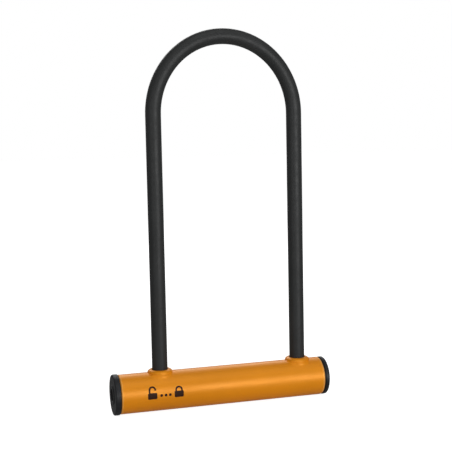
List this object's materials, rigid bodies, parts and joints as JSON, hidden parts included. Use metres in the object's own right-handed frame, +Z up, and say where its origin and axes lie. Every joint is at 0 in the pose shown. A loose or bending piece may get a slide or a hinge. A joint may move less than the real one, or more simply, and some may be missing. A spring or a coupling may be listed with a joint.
{
  "type": "u lock",
  "caption": "Bicycle U lock: a coated steel shackle that lifts out of a round crossbar, locked by a key plug, a barrel cam and a sliding plate.",
  "frame": {"origin": "middle of the underside of the lock's box, straight below the crossbar's axis", "axes": "+Z up along the legs of the shackle, +X along the crossbar from the key end to the blank end, +Y to the back"},
  "size_m": [0.202, 0.0362, 0.3405],
  "materials": {
    "orange_paint": "satin metallic orange",
    "vinyl_coat": "satin black vinyl",
    "black_plastic": "moulded, satin",
    "hardened_steel": "ground",
    "zinc_steel": "zinc plated",
    "brass": "machined",
    "spring_steel": "polished wire"
  },
  "bodies": {
    "crossbar": {"crossbar_tube": "orange_paint", "key_end_cap": "black_plastic", "blank_end_cap": "black_plastic", "left_collar": "orange_paint", "right_collar": "orange_paint", "left_guide_block": "zinc_steel", "right_guide_block": "zinc_steel", "left_guide_pin": "zinc_steel", "right_guide_pin": "zinc_steel", "cylinder_housing": "zinc_steel", "housing_pin": "zinc_steel", "chamber_cover": "brass", "drill_guard_pin_1": "hardened_steel", "drill_guard_pin_2": "hardened_steel", "driver_pin_1": "brass", "driver_pin_2": "brass", "driver_pin_3": "brass", "driver_pin_4": "brass", "driver_spring_1": "spring_steel", "driver_spring_2": "spring_steel", "driver_spring_3": "spring_steel", "driver_spring_4": "spring_steel"},
    "shackle": {"shackle_core": "hardened_steel", "shackle_coat": "vinyl_coat"},
    "plug": {"plug": "brass", "plug_clip": "spring_steel", "cam_barrel": "zinc_steel", "cam_screw": "hardened_steel", "key_pin_1": "brass", "key_pin_2": "brass", "key_pin_3": "brass", "key_pin_4": "brass"},
    "lock_plate": {"lock_plate": "hardened_steel", "follower_pin": "hardened_steel"}
  },
  "joints": [
    {"name": "shackle_lift", "type": "slide", "parent": "crossbar", "child": "shackle", "axis": [0, 0, 1], "range_m": [0, 0.045]},
    {"name": "plug_turn", "type": "hinge", "parent": "crossbar", "child": "plug", "pos_m": [-0.09, 0, 0.0181], "axis": [1, 0, 0], "range_deg": [0, 90]},
    {"name": "plate_slide", "type": "slide", "parent": "crossbar", "child": "lock_plate", "axis": [1, 0, 0], "range_m": [0, 0.0045]}
  ],
  "couplings": [
    {"joint": "plug_turn", "follows": "plate_slide", "rad_per_m": 349.06}
  ]
}
